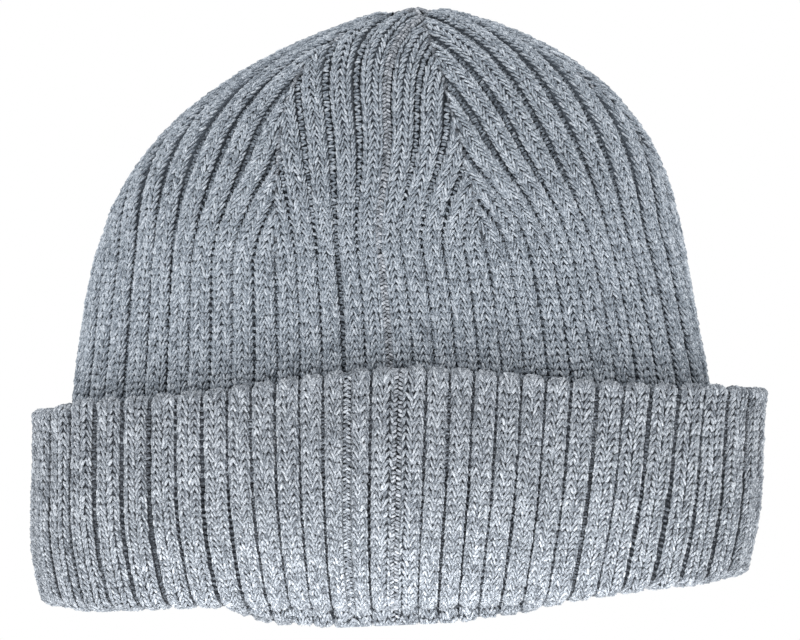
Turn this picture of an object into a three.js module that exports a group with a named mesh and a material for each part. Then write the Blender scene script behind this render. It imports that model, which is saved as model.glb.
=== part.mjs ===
// A knit beanie with a turned-up cuff, standing open on the fold of that cuff.
//
// Millimetres, +Z up. The origin is the middle of the footprint, on the surface the hat stands on.
// +X runs along the long axis of the opening, and the linked back seam faces -Y.
//
// The hat is one 2 by 2 rib panel, turned, shaped and linked. Its regions are modelled as the
// pieces they are worked in: the body, the gores of the crown, the band, its fold and its welt.
// Every piece is a patch of the same shell, so each is given by a stretch of girth, a stretch of
// height and a stretch of thickness.
import * as THREE from "three";
import { mergeVertices } from "three/addons/utils/BufferGeometryUtils.js";

// Cuff: the turned-up band.
const CUFF_WIDTH = 229;
const CUFF_DEPTH = 98;
const CUFF_OVAL_POWER = 2.5;
const BAND_THICKNESS = 3.6;
const BAND_TOP = 67;
const WELT_TOP = 72;
const WELT_SWELL = 0.5;
const CUFF_TAPER = 0.04;
const CUFF_TAPER_HEIGHT = 40;
const CUFF_FOOT_DRIFT = -3.25;
const CUFF_TOP_DRIFT = 1;

// Fold: where the panel turns from the inner layer to the band.
const FOLD_HEIGHT = 8;
const FOLD_ROUND = 4;
const FOLD_FLAT_SHARE = 1 / 3;
const LIP_SHARE = 0.42;
const WALL_START = 9.2;

// Crown: the body and the gores above it.
const CROWN_WIDTH = 197;
const CROWN_GAUGE_HEIGHT = 80;
const CROWN_FLARE = 0.155;
const CROWN_FLARE_REACH = 25;
const CROWN_SHIFT = -2;
const CROWN_OVAL_POWER = 2.2;
const CROWN_DEPTH_SHARE = 0.405;
const TIP_DEPTH_SHARE = 0.33;
const WALL = 3.2;
const GORE_START = 116;
const TIP_HEIGHT = 193;
const TIP_LEAN = 13;
const TIP_TWIST = -0.06;
const SHOULDER_START = 85;
const SHOULDER_POWER = 3.9;
const TIP_POWER = 0.76;
const TIP_HOLE_HALF_WIDTH = 9;

// Seams.
const CENTRE_GORE_SHARE = 0.152;
const SEAM_WIDTH = 2.4;
const SEAM_PROUD = 1.2;
const DART_WIDTH = 1.6;
const TIE_TOP = 192;
const TIE_LENGTH = 8;
const TIE_CLEAR = 1.6;
const TIE_DOME = 3;
const TIE_NECK_SHARE = 0.8;

// Gap between two pieces that touch on the real hat.
const GAP = 0.4;

// How finely the shell is faceted.
const ROUND_STEPS = 72;
const WALL_STEPS = 6;
const GORE_STEPS = 12;
const BAND_STEPS = 4;
const DOME_STEPS = 5;
const KNOT_STEPS = 16;

// How the bottom edge leaves the ground and how the top of the band arches.
const RIM_RISE = 4.8;
const RIM_LOW_POINT = 20;
const RIM_SIDE_RISE = 3.2;
const RIM_SIDE_START = 28;
const RIM_SIDE_END = 80;
const RIM_END_RISE = 2;
const RIM_END_START = 100;
const FOOT_REACH = 36;
const LIP_REACH = 12;
const FOOT_END = 66;
const LIFT_FADE_HEIGHT = 40;
const BAND_ARCH_BACK = 8;
const BAND_ARCH_FRONT = 3;
const BAND_ARCH_SPREAD = 38;
const BAND_SLANT = 2.3;

const KNIT = { color: 0x8d959d, roughness: 0.95, metalness: 0 };
const TURNED_KNIT = { color: 0x98a0a7, roughness: 0.95, metalness: 0 };
const SEAM_YARN = { color: 0x7f878f, roughness: 0.95, metalness: 0 };

const TURN = 2 * Math.PI;

// An oval whose sides are fuller than an ellipse's. Angle 0 faces -Y and a quarter turn faces +X.
function ovalPoint(angle, halfWidth, halfDepth, power) {
  const sine = Math.sin(angle);
  const cosine = Math.cos(angle);
  const across = Math.abs(sine / halfWidth) ** power;
  const deep = Math.abs(cosine / halfDepth) ** power;
  const reach = (across + deep) ** (-1 / power);
  return { x: reach * sine, y: -reach * cosine };
}

// Angles that share the girth of the hat's oval equally, so that equal shares are equal lengths.
function makeGirthTable(steps) {
  const shares = [0];
  let last = ovalPoint(0, 1, CROWN_DEPTH_SHARE, CROWN_OVAL_POWER);
  for (let i = 1; i <= steps; i += 1) {
    const next = ovalPoint((TURN * i) / steps, 1, CROWN_DEPTH_SHARE, CROWN_OVAL_POWER);
    shares.push(shares[i - 1] + Math.hypot(next.x - last.x, next.y - last.y));
    last = next;
  }
  return shares.map((length) => length / shares[steps]);
}

const girthTable = makeGirthTable(1440);

// The oval's angle at a share of the girth, counted from the back seam towards +X.
function girthAngle(share) {
  const whole = Math.floor(share);
  const part = share - whole;
  const above = Math.max(1, girthTable.findIndex((length) => length >= part));
  const low = girthTable[above - 1];
  const rest = (part - low) / (girthTable[above] - low);
  return TURN * (whole + (above - 1 + rest) / (girthTable.length - 1));
}

function smoothStep(low, high, value) {
  const share = THREE.MathUtils.clamp((value - low) / (high - low), 0, 1);
  return share * share * (3 - 2 * share);
}

// A smooth hump along X, 1 in the middle.
function hump(x, spread) {
  return Math.exp(-0.5 * (x / spread) ** 2);
}

// Where the band's plain oval runs at a share of the girth.
function bandOval(share) {
  return ovalPoint(girthAngle(share), CUFF_WIDTH / 2, CUFF_DEPTH / 2, CUFF_OVAL_POWER);
}

// How high the outer face's lower edge hangs above the ground at a place along X.
function rimRise(x) {
  const sides = RIM_SIDE_RISE * smoothStep(RIM_SIDE_START, RIM_SIDE_END, Math.abs(x - RIM_LOW_POINT));
  const ends = RIM_END_RISE * smoothStep(RIM_END_START, CUFF_WIDTH / 2, Math.abs(x));
  return RIM_RISE + sides + ends;
}

// How far the wall is raised off the ground. The middle stretch of the rim stands on the ground and
// both ends are pulled up. On the back seam's side only the fold's inner lip stands there, and the
// outer face hangs clear of it. Both fade out up the wall. out is 0 at the inner wall and 1 at the
// band's outer face.
function liftAt(share, height, out) {
  const { x, y } = bandOval(share);
  const rise = rimRise(x);
  const foot = rise * smoothStep(y < 0 ? LIP_REACH : FOOT_REACH, FOOT_END, Math.abs(x));
  const hung = y < 0 ? smoothStep(LIP_SHARE, 1 - LIP_SHARE, out) : 0;
  return THREE.MathUtils.lerp(foot, rise, hung) * Math.max(0, 1 - height / LIFT_FADE_HEIGHT);
}

// The rise of the band's top edge: highest at the back seam, and a little slanted along X.
function bandArch(share, height) {
  const { x, y } = bandOval(share);
  const rise = (y < 0 ? BAND_ARCH_BACK : BAND_ARCH_FRONT) * hump(x, BAND_ARCH_SPREAD);
  const slant = (-BAND_SLANT * x) / (CUFF_WIDTH / 2);
  return (rise + slant) * (height / WELT_TOP) ** 2;
}

// The band's outer face. Its foot is drawn in at the ends, and the band leans a little along X.
function bandSkin(share, height) {
  const { x, y } = bandOval(share);
  const drawn = 1 - CUFF_TAPER * Math.max(0, 1 - height / CUFF_TAPER_HEIGHT) ** 2;
  const climb = Math.max(0, height / WELT_TOP) ** 1.5;
  const drift = THREE.MathUtils.lerp(CUFF_FOOT_DRIFT, CUFF_TOP_DRIFT, climb);
  const z = height + liftAt(share, height, 1) + bandArch(share, height);
  return new THREE.Vector3(x * drawn + drift, y, z);
}

// Half the crown's width at a height: a wall that leans in, then a shoulder that closes at the tip.
// Inside the cuff the wall straightens.
function crownHalfWidth(height) {
  const above = height - CROWN_GAUGE_HEIGHT;
  const run = above > 0 ? above : CROWN_FLARE_REACH * (Math.exp(above / CROWN_FLARE_REACH) - 1);
  const wall = CROWN_WIDTH / 2 - CROWN_FLARE * run;
  const climbed = Math.max(0, height - SHOULDER_START) / (TIP_HEIGHT - SHOULDER_START);
  return wall * (1 - climbed ** SHOULDER_POWER) ** TIP_POWER;
}

// The height at which the gathered tip is left open for the closing yarn.
function findHoleHeight() {
  let low = GORE_START;
  let high = TIP_HEIGHT;
  for (let i = 0; i < 40; i += 1) {
    const middle = (low + high) / 2;
    if (crownHalfWidth(middle) > TIP_HOLE_HALF_WIDTH) low = middle;
    else high = middle;
  }
  return low;
}

const HOLE_HEIGHT = findHoleHeight();

// Depth over width of the crown: flat at the body, rounder where the gores gather.
function crownDepthShare(height) {
  const climbed = Math.max(0, height - GORE_START) / (TIP_HEIGHT - GORE_START);
  return CROWN_DEPTH_SHARE + TIP_DEPTH_SHARE * climbed ** 4;
}

// How far up the leaning part of the crown a height is, from 0 to 1.
function crownClimb(height) {
  return Math.max(0, height - CROWN_GAUGE_HEIGHT) / (TIP_HEIGHT - CROWN_GAUGE_HEIGHT);
}

// How far the crown leans towards +X, as a soft crown settles.
function crownLean(height) {
  return CROWN_SHIFT + TIP_LEAN * crownClimb(height) ** 2;
}

// The share of the girth that the gores have turned by at a height.
function crownTwist(height) {
  return TIP_TWIST * crownClimb(height) ** 2;
}

// The outer face of the body and the gores.
function crownSkin(share, height) {
  const halfWidth = crownHalfWidth(height);
  const halfDepth = halfWidth * crownDepthShare(height);
  const turned = share + crownTwist(height);
  const { x, y } = ovalPoint(girthAngle(turned), halfWidth, halfDepth, CROWN_OVAL_POWER);
  return new THREE.Vector3(x + crownLean(height), y, height + liftAt(share, height, 0));
}

// A point some way inside a skin, along the skin's own normal.
function inside(skin, share, height, depth) {
  const shareStep = 1e-4;
  const heightStep = 1e-2;
  const point = skin(share, height);
  const along = skin(share + shareStep, height).sub(skin(share - shareStep, height));
  const up = skin(share, height + heightStep).sub(skin(share, height - heightStep));
  const outward = along.cross(up).normalize();
  return point.addScaledVector(outward, -depth);
}

// The girth share that a length covers at a height on the crown.
function crownShare(length, height) {
  const halfWidth = crownHalfWidth(height);
  const halfDepth = halfWidth * crownDepthShare(height);
  const girth = Math.PI * (3 * (halfWidth + halfDepth) - Math.sqrt(
    (3 * halfWidth + halfDepth) * (halfWidth + 3 * halfDepth),
  ));
  return length / girth;
}

// A closed panel: a box bent round the hat. place is given how far round, up and out each corner
// of the box is, from 0 to 1, and returns where that corner goes.
function bentPanel(place, roundSteps, upSteps, outSteps = 1) {
  const box = new THREE.BoxGeometry(1, 1, 1, roundSteps, upSteps, outSteps);
  const corners = box.getAttribute("position");
  const corner = new THREE.Vector3();
  for (let i = 0; i < corners.count; i += 1) {
    corner.fromBufferAttribute(corners, i).addScalar(0.5);
    const point = place(corner.x, corner.y, corner.z);
    corners.setXYZ(i, point.x, point.y, point.z);
  }
  return closed(box);
}

// A closed ring: a lathed profile bent round the hat. profile holds the section's corners, counter
// clockwise, as how far out and up they are from 0 to 1.
function bentRing(place, profile, roundSteps) {
  const loop = [...profile, profile[0]].map(([out, up]) => new THREE.Vector2(1 + out, up));
  const lathe = new THREE.LatheGeometry(loop, roundSteps);
  const corners = lathe.getAttribute("position");
  for (let i = 0; i < corners.count; i += 1) {
    const turn = Math.floor(i / loop.length) % roundSteps;
    const [out, up] = profile[(i % loop.length) % profile.length];
    const point = place(turn / roundSteps, up, out);
    corners.setXYZ(i, point.x, point.y, point.z);
  }
  return closed(lathe);
}

function closed(geometry) {
  geometry.deleteAttribute("normal");
  geometry.deleteAttribute("uv");
  const merged = mergeVertices(geometry, 1e-4);
  merged.computeVertexNormals();
  return merged;
}

// A patch of the crown's shell. Its sides keep a fixed width clear of the lines that bound it, and
// its rows crowd together towards the tip, where the crown turns over.
function crownPatch({ from, to, clear, bottom, top, outer, inner, roundSteps, upSteps }) {
  return bentPanel((round, up, out) => {
    const height = bottom + (top - bottom) * Math.sin((up * Math.PI) / 2);
    const trim = crownShare(clear, height);
    const share = THREE.MathUtils.lerp(from + trim, to - trim, round);
    return inside(crownSkin, share, height, THREE.MathUtils.lerp(inner, outer, out));
  }, roundSteps, upSteps);
}

// A narrow strip of linked loops up the crown, set into the gap between two patches.
function crownSeam(share, width, bottom, top, upSteps) {
  return bentPanel((round, up, out) => {
    const height = bottom + (top - bottom) * Math.sin((up * Math.PI) / 2);
    const local = share + crownShare(width, height) * (round - 0.5);
    const depth = THREE.MathUtils.lerp(WALL + SEAM_PROUD, 0, out);
    return inside(crownSkin, local, height, depth);
  }, 1, upSteps);
}

function pieceMesh(name, geometry, finish) {
  const mesh = new THREE.Mesh(geometry, new THREE.MeshStandardMaterial(finish));
  mesh.name = name;
  return mesh;
}

// The band's shell between two heights, open along the back seam.
function bandPatch(bottom, top, swell) {
  const girth = Math.PI * (CUFF_WIDTH + CUFF_DEPTH) / 2;
  const trim = (SEAM_WIDTH / 2 + GAP) / girth;
  return bentPanel((round, up, out) => {
    const share = THREE.MathUtils.lerp(trim, 1 - trim, round);
    const height = THREE.MathUtils.lerp(bottom, top, up);
    const depth = THREE.MathUtils.lerp(BAND_THICKNESS + swell, -swell, out);
    return inside(bandSkin, share, height, depth);
  }, ROUND_STEPS, BAND_STEPS);
}

function bandSeam() {
  const girth = Math.PI * (CUFF_WIDTH + CUFF_DEPTH) / 2;
  return bentPanel((round, up, out) => {
    const share = (SEAM_WIDTH / girth) * (round - 0.5);
    const height = THREE.MathUtils.lerp(WALL_START, WELT_TOP, up);
    return inside(bandSkin, share, height, BAND_THICKNESS * (1 - out));
  }, 1, BAND_STEPS);
}

// The fold's underside: flat along the middle and rounded up to each face.
function foldUnderside(out) {
  const offMiddle = Math.abs(2 * out - 1);
  const rounding = Math.max(0, offMiddle - FOLD_FLAT_SHARE) / (1 - FOLD_FLAT_SHARE);
  return FOLD_ROUND * (1 - Math.sqrt(1 - rounding ** 2));
}

// The fold: a ring from the body's inner wall to the band's outer face. It has an inner lip and an
// outer roll, which part at the middle where the outer face hangs clear of the ground.
function foldRing() {
  const stops = [0, 1 / 6, 1 / 3, LIP_SHARE, 1 - LIP_SHARE, 2 / 3, 5 / 6, 1];
  const underside = stops.map((out) => [out, foldUnderside(out) / FOLD_HEIGHT]);
  const profile = [...underside, [1, 1], [1 - LIP_SHARE, 1], [LIP_SHARE, 1], [0, 1]];
  return bentRing((round, up, out) => {
    const height = up * FOLD_HEIGHT;
    const outer = bandSkin(round, height);
    const inner = inside(crownSkin, round, height, WALL);
    const point = inner.lerp(outer, out);
    point.z = height + liftAt(round, height, out) + bandArch(round, height);
    return point;
  }, profile, ROUND_STEPS);
}

// The closing yarn: the last loops drawn up into a small domed knot that fills the tip's hole.
function closingKnot() {
  const radius = TIP_HOLE_HALF_WIDTH - TIE_CLEAR;
  const base = TIE_TOP - TIE_LENGTH;
  const rim = TIE_TOP - TIE_DOME;
  const outline = [new THREE.Vector2(0, base), new THREE.Vector2(radius * TIE_NECK_SHARE, base)];
  for (let i = 0; i < DOME_STEPS; i += 1) {
    const climb = (i / DOME_STEPS) * (Math.PI / 2);
    outline.push(new THREE.Vector2(radius * Math.cos(climb), rim + TIE_DOME * Math.sin(climb)));
  }
  outline.push(new THREE.Vector2(0, TIE_TOP));
  const knot = new THREE.LatheGeometry(outline, KNOT_STEPS);
  knot.rotateX(Math.PI / 2);
  knot.scale(1, crownDepthShare(HOLE_HEIGHT), 1);
  knot.translate(crownLean(TIE_TOP), 0, 0);
  return closed(knot);
}

// The wall from the fold up to where the crown's shaping starts, open along the back seam.
function bodyTube() {
  return crownPatch({
    from: 0,
    to: 1,
    clear: SEAM_WIDTH / 2 + GAP,
    bottom: WALL_START,
    top: GORE_START - GAP / 2,
    outer: 0,
    inner: WALL,
    roundSteps: ROUND_STEPS,
    upSteps: WALL_STEPS,
  });
}

// A gore between two girth shares, each edge clear of the dart or seam that joins it.
function gore(from, to) {
  return crownPatch({
    from,
    to,
    clear: DART_WIDTH / 2 + GAP,
    bottom: GORE_START + GAP / 2,
    top: HOLE_HEIGHT,
    outer: 0,
    inner: WALL,
    roundSteps: Math.round(ROUND_STEPS * (to - from)),
    upSteps: GORE_STEPS,
  });
}

function buildCrown() {
  const crown = new THREE.Group();
  crown.add(pieceMesh("body_tube", bodyTube(), KNIT));

  // Five whole gores, and one split by the back seam. The names go round from the seam by +X.
  const half = CENTRE_GORE_SHARE / 2;
  const gores = [
    ["gore_back_right_half", 0, half],
    ["gore_back_right", half, 0.25],
    ["gore_front_right", 0.25, 0.5 - half],
    ["gore_front_centre", 0.5 - half, 0.5 + half],
    ["gore_front_left", 0.5 + half, 0.75],
    ["gore_back_left", 0.75, 1 - half],
    ["gore_back_left_half", 1 - half, 1],
  ];
  for (const [name, from, to] of gores) crown.add(pieceMesh(name, gore(from, to), KNIT));

  const darts = [
    ["dart_back_right", half],
    ["dart_side_right", 0.25],
    ["dart_front_right", 0.5 - half],
    ["dart_front_left", 0.5 + half],
    ["dart_side_left", 0.75],
    ["dart_back_left", 1 - half],
  ];
  for (const [name, share] of darts) {
    const strip = crownSeam(share, DART_WIDTH, GORE_START + GAP / 2, HOLE_HEIGHT, GORE_STEPS);
    crown.add(pieceMesh(name, strip, SEAM_YARN));
  }

  const bodySeam = crownSeam(0, SEAM_WIDTH, WALL_START, GORE_START - GAP / 2, WALL_STEPS);
  crown.add(pieceMesh("body_seam", bodySeam, SEAM_YARN));
  const crownBackSeam = crownSeam(0, DART_WIDTH, GORE_START + GAP / 2, HOLE_HEIGHT, GORE_STEPS);
  crown.add(pieceMesh("crown_seam", crownBackSeam, SEAM_YARN));
  crown.add(pieceMesh("closing_knot", closingKnot(), SEAM_YARN));
  return crown;
}

function buildCuff() {
  const cuff = new THREE.Group();
  cuff.add(pieceMesh("cuff_fold", foldRing(), TURNED_KNIT));
  const band = bandPatch(WALL_START, BAND_TOP - GAP / 2, 0);
  cuff.add(pieceMesh("cuff_band", band, TURNED_KNIT));
  const welt = bandPatch(BAND_TOP + GAP / 2, WELT_TOP, WELT_SWELL);
  cuff.add(pieceMesh("cuff_welt", welt, TURNED_KNIT));
  cuff.add(pieceMesh("cuff_seam", bandSeam(), SEAM_YARN));
  return cuff;
}

const beanie = new THREE.Group();
beanie.add(buildCrown(), buildCuff());

export default beanie;
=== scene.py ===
"""A heather blue-grey knit beanie with a turned-up cuff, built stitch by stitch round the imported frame.

Every visible piece is a patch of ribbed fabric: a thin shell with the ribs' relief, covered with yarn
grains, two for each leg of each stitch. Fabric coordinates are ribs round the hat, counted from the back
seam towards +X, and millimetres up it.
"""

import math

import bpy
import numpy as np
from mathutils import Matrix, Vector


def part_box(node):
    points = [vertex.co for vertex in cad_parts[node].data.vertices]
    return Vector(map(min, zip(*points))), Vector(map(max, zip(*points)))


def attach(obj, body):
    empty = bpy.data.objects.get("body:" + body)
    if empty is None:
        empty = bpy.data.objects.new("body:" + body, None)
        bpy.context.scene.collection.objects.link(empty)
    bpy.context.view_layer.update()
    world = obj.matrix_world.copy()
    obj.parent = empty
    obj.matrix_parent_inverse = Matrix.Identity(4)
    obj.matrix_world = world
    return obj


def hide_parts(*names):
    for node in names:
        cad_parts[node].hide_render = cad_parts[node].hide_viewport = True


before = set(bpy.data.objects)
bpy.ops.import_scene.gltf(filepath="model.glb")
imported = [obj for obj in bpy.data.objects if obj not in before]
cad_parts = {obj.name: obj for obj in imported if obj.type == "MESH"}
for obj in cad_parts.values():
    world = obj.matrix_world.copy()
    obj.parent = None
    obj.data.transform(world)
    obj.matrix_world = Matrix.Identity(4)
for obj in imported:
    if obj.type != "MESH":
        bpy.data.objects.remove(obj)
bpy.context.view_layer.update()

MM = 0.001
TURN = 2 * math.pi
rng = np.random.default_rng(7)

# ---------------------------------------------------------------- sizes

# Lengths are in millimetres. The rest are shares, powers, turns and counts.

# Cuff.
CUFF_HALF_WIDTH = 114.5
CUFF_HALF_DEPTH = 49.0
CUFF_OVAL_POWER = 2.5
CUFF_TAPER = 0.04
CUFF_TAPER_HEIGHT = 40.0
CUFF_FOOT_DRIFT = -3.25
CUFF_TOP_DRIFT = 1.0
BAND_THICKNESS = 3.6
WELT_TOP = 72.0
WELT_SWELL = 0.5
WELT_REACH = 7.0
TAIL_START = 9.0
TAIL_END = 28.0
FOLD_SPAN = 10.8
FOLD_ROUND = 4.0
LIP_SHARE = 0.42
INNER_EDGE = 9.0
FOLD_REACH_LEFT = 2.8
FOLD_REACH_RIGHT = 1.2
FOLD_REACH_START = 50.0
FOLD_REACH_END = 85.0

# Crown.
CROWN_HALF_WIDTH = 98.5
CROWN_GAUGE_HEIGHT = 80.0
CROWN_FLARE = 0.155
CROWN_FLARE_REACH = 25.0
CROWN_SHIFT = -2.0
CROWN_OVAL_POWER = 2.2
CROWN_DEPTH_SHARE = 0.405
TIP_DEPTH_SHARE = 0.33
BODY_START = 9.2
GORE_START = 116.0
TIP_HEIGHT = 193.0
TIP_LEAN = 13.0
TIP_TWIST = -0.06
SHOULDER_START = 85.0
SHOULDER_POWER = 3.9
TIP_POWER = 0.76
HOLE_HEIGHT = 191.2
HOLE_ROOM = 0.2

# How the rim leaves the ground and how the band's top edge arches.
RIM_RISE = 4.8
RIM_LOW_POINT = 20.0
RIM_SIDE_RISE = 3.2
RIM_SIDE_START = 28.0
RIM_SIDE_END = 80.0
RIM_END_RISE = 2.0
RIM_END_START = 100.0
FOOT_REACH = 36.0
LIP_REACH = 12.0
FOOT_END = 66.0
LIFT_FADE_HEIGHT = 40.0
BAND_ARCH_BACK = 8.0
BAND_ARCH_FRONT = 3.0
BAND_ARCH_SPREAD = 38.0
BAND_SLANT = 2.3
FINGER_RISE = 0.8
FINGER_DROP = 0.65
CORNER_DROP = 3.0
CORNER_START = 96.0

# Knit. A gap has the number of the rib on its +X side, so the back seam is in gap 0 and WIDE_GAP is a
# gap that has spread, two ribs to its left.
RIBS = 64
COURSE = 2.16
CROWN_RIB_PITCH = 6.6
CUFF_RIB_PITCH = 7.5
CUFF_RIB_EASE = 0.22
CUFF_RIB_FLAT = 0.09
CUFF_FOOT_EASE = 0.11
CROWN_RIB_EASE = 0.03
CENTRE_GORE_RIBS = 10
SIDE_GORE_RIBS = 11
FAN = 0.33
FAN_END = 40.0
FAN_OPENING = 0.75
ENDS_OPENING = 0.35
GAP_VARIETY = 0.9
CUFF_OPENING = 0.21
GAP_WIDTHS = (-0.22, 0.30)
SQUARING_END = 72.0
SQUARING_LIMIT = 0.5
SEAM_SKEW = 6.5
SEAM_ROOM = 0.2
WIDE_GAP = 62
WIDE_GAP_WIDTH = 0.75
FAR_INSIDE = 99.0
PLACING_ROUNDS = 12
NEARBY = 1e-4
CUFF_SEED = 11
CROWN_SEED = 31

# ---------------------------------------------------------------- the hat's surface


def oval(angle, half_width, half_depth, power):
    """A point of an oval fuller than an ellipse. Angle 0 faces -Y and a quarter turn faces +X."""
    sine, cosine = np.sin(angle), np.cos(angle)
    reach = (np.abs(sine / half_width) ** power + np.abs(cosine / half_depth) ** power) ** (-1 / power)
    return reach * sine, -reach * cosine


def make_girth_table(steps):
    """Angles against equal shares of the girth of the crown's oval."""
    angles = np.linspace(0, TURN, steps + 1)
    x, y = oval(angles, 1.0, CROWN_DEPTH_SHARE, CROWN_OVAL_POWER)
    lengths = np.concatenate([[0], np.cumsum(np.hypot(np.diff(x), np.diff(y)))])
    return lengths / lengths[-1], angles


girth_shares, girth_angles = make_girth_table(1440)


def girth_angle(share):
    """The oval's angle at a share of the girth, which may be below 0 or above 1."""
    whole = np.floor(share)
    return TURN * whole + np.interp(share - whole, girth_shares, girth_angles)


def smooth_step(low, high, value):
    """0 up to low, 1 from high on, and a smooth climb between them."""
    share = np.clip((value - low) / (high - low), 0, 1)
    return share * share * (3 - 2 * share)


def unit(vectors):
    return vectors / np.maximum(np.linalg.norm(vectors, axis=-1, keepdims=True), 1e-9)


def band_oval(share):
    return oval(girth_angle(share), CUFF_HALF_WIDTH, CUFF_HALF_DEPTH, CUFF_OVAL_POWER)


def rim_lift(share, height, out):
    """How far the wall is raised off the ground. out is 0 at the inner wall and 1 at the outer face.

    The middle of the rim stands on the ground and both ends are pulled up. On the back seam's side
    only the fold's inner lip stands there, and the outer face hangs clear."""
    x, y = band_oval(share)
    rise = RIM_RISE + RIM_SIDE_RISE * smooth_step(RIM_SIDE_START, RIM_SIDE_END, np.abs(x - RIM_LOW_POINT))
    rise = rise + RIM_END_RISE * smooth_step(RIM_END_START, CUFF_HALF_WIDTH, np.abs(x))
    foot = rise * smooth_step(np.where(y < 0, LIP_REACH, FOOT_REACH), FOOT_END, np.abs(x))
    hung = np.where(y < 0, smooth_step(LIP_SHARE, 1 - LIP_SHARE, out), 0)
    return (foot + (rise - foot) * hung) * np.maximum(0, 1 - height / LIFT_FADE_HEIGHT)


def band_arch(share, height):
    """The rise of the band's top edge, highest at the back seam, and a little slanted along X."""
    x, y = band_oval(share)
    rise = np.where(y < 0, BAND_ARCH_BACK, BAND_ARCH_FRONT) * np.exp(-0.5 * (x / BAND_ARCH_SPREAD) ** 2)
    slant = -BAND_SLANT * x / CUFF_HALF_WIDTH
    corner = smooth_step(CORNER_START, CUFF_HALF_WIDTH, np.abs(x))
    drop = np.where(x < 0, CORNER_DROP, CORNER_DROP / 2) * corner
    return (rise + slant - drop) * (np.maximum(height, 0) / WELT_TOP) ** 2


def crown_half_width(height):
    above = height - CROWN_GAUGE_HEIGHT
    eased = CROWN_FLARE_REACH * (np.exp(np.minimum(above, 0) / CROWN_FLARE_REACH) - 1)
    wall = CROWN_HALF_WIDTH - CROWN_FLARE * np.where(above > 0, above, eased)
    climbed = np.clip((height - SHOULDER_START) / (TIP_HEIGHT - SHOULDER_START), 0, 1)
    return wall * (1 - climbed**SHOULDER_POWER) ** TIP_POWER


def crown_depth_share(height):
    climbed = np.clip((height - GORE_START) / (TIP_HEIGHT - GORE_START), 0, 1)
    return CROWN_DEPTH_SHARE + TIP_DEPTH_SHARE * climbed**4


def crown_climb(height):
    return np.clip((height - CROWN_GAUGE_HEIGHT) / (TIP_HEIGHT - CROWN_GAUGE_HEIGHT), 0, 1)


def crown_point(share, height):
    """A point of the outer face of the body and gores."""
    half_width = crown_half_width(height)
    half_depth = half_width * crown_depth_share(height)
    climbed = crown_climb(height)
    x, y = oval(girth_angle(share + TIP_TWIST * climbed**2), half_width, half_depth, CROWN_OVAL_POWER)
    x = x + CROWN_SHIFT + TIP_LEAN * climbed**2
    return np.stack([x, y, height + rim_lift(share, height, 0.0)], axis=-1)


def crown_girth(height):
    """The girth of the crown's oval, by Ramanujan's rule for an ellipse."""
    a = crown_half_width(height)
    b = a * crown_depth_share(height)
    return math.pi * (3 * (a + b) - np.sqrt((3 * a + b) * (a + 3 * b)))


def rib_share(ribs, ease, flat=0.0):
    """The share of the girth at a rib count from the back seam.

    ease narrows the ribs at the seam and far side and widens them at the ends; flat keeps that widening
    close to the ends."""
    turn = ribs / RIBS
    widened = turn - ease * np.sin(2 * TURN * turn) / (2 * TURN)
    return widened + flat * np.sin(4 * TURN * turn) / (4 * TURN)


def make_room(ribs, room):
    """Rib counts with the ribs on both sides of the back seam pushed off it."""
    beside = (ribs + RIBS / 2) % RIBS - RIBS / 2
    return ribs + room * np.tanh(beside / 0.3) * np.exp(-np.abs(beside) / 2)


# ---------------------------------------------------------------- cloths: fabric coordinates to points

# Each cloth has the same values: pitch is a rib's width; seed sets its slow shifts; flipped turns its
# stitches upside down; base is how far up the fabric it starts, so that the slow shifts run on from one
# cloth to the next; purl_lift raises the purl bumps in its gaps and lightens their painted shade;
# shut_rise raises the outer wales beside a gap that is shut.


class Body:
    """The wall from the fold to the gores. Up is millimetres above its lower edge."""

    pitch = CROWN_RIB_PITCH
    seed = CROWN_SEED
    flipped = False
    base = 0.0
    purl_lift = 0.65
    shut_rise = 0.17
    length = GORE_START - BODY_START

    def point(self, ribs, up):
        return crown_point(rib_share(make_room(ribs, SEAM_ROOM / 2), CROWN_RIB_EASE), BODY_START + up)

    def open(self, ribs, up):
        """How far the ribs have spread apart, from 0 to 1."""
        off_middle = np.abs((ribs + RIBS / 4) % (RIBS / 2) - RIBS / 4)
        return ENDS_OPENING * smooth_step(8, 15, off_middle) + GAP_VARIETY * gap_spread(ribs)

    def inset(self, ribs, up):
        """How far inside its edges a stitch lies. Only the upper edge, where the gores start, counts."""
        return np.where(up < self.length, FAR_INSIDE, -1.0)


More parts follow.
